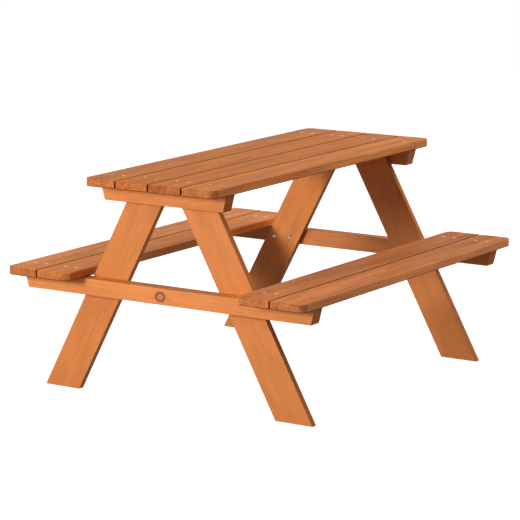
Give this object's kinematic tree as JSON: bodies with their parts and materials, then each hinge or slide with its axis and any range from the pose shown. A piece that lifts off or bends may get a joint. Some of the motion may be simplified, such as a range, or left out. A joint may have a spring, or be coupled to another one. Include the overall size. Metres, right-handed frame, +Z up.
{
  "type": "child's picnic table",
  "caption": "Child's A-frame picnic table of stained softwood: a slatted top and two attached slatted benches carried by splayed legs, bolted and screwed together.",
  "frame": {"origin": "on the ground, under the middle of the table top", "axes": "+X along the table towards the end called far, +Y towards the bench called left, +Z up"},
  "size_m": [0.89, 0.79, 0.5],
  "materials": {
    "plank_wood": "satin orange-brown stain",
    "frame_wood": "satin orange-brown stain",
    "zinc_screws": "bright zinc plate",
    "zinc_bolts": "bright zinc plate"
  },
  "bodies": {
    "root": {"top_plank_left_outer": "plank_wood", "top_plank_left_inner": "plank_wood", "top_plank_right_outer": "plank_wood", "top_plank_right_inner": "plank_wood", "bench_plank_left_outer": "plank_wood", "bench_plank_left_inner": "plank_wood", "bench_plank_right_outer": "plank_wood", "bench_plank_right_inner": "plank_wood", "top_cleat_near": "frame_wood", "top_cleat_far": "frame_wood", "bench_bearer_near": "frame_wood", "bench_bearer_far": "frame_wood", "leg_near_left": "frame_wood", "leg_near_right": "frame_wood", "leg_far_left": "frame_wood", "leg_far_right": "frame_wood", "top_plank_screws": "zinc_screws", "bench_plank_screws": "zinc_screws", "leg_to_cleat_bolts": "zinc_bolts", "leg_to_bearer_bolts": "zinc_bolts", "cleat_inserts": "zinc_bolts", "bearer_inserts": "zinc_bolts"}
  },
  "joints": []
}
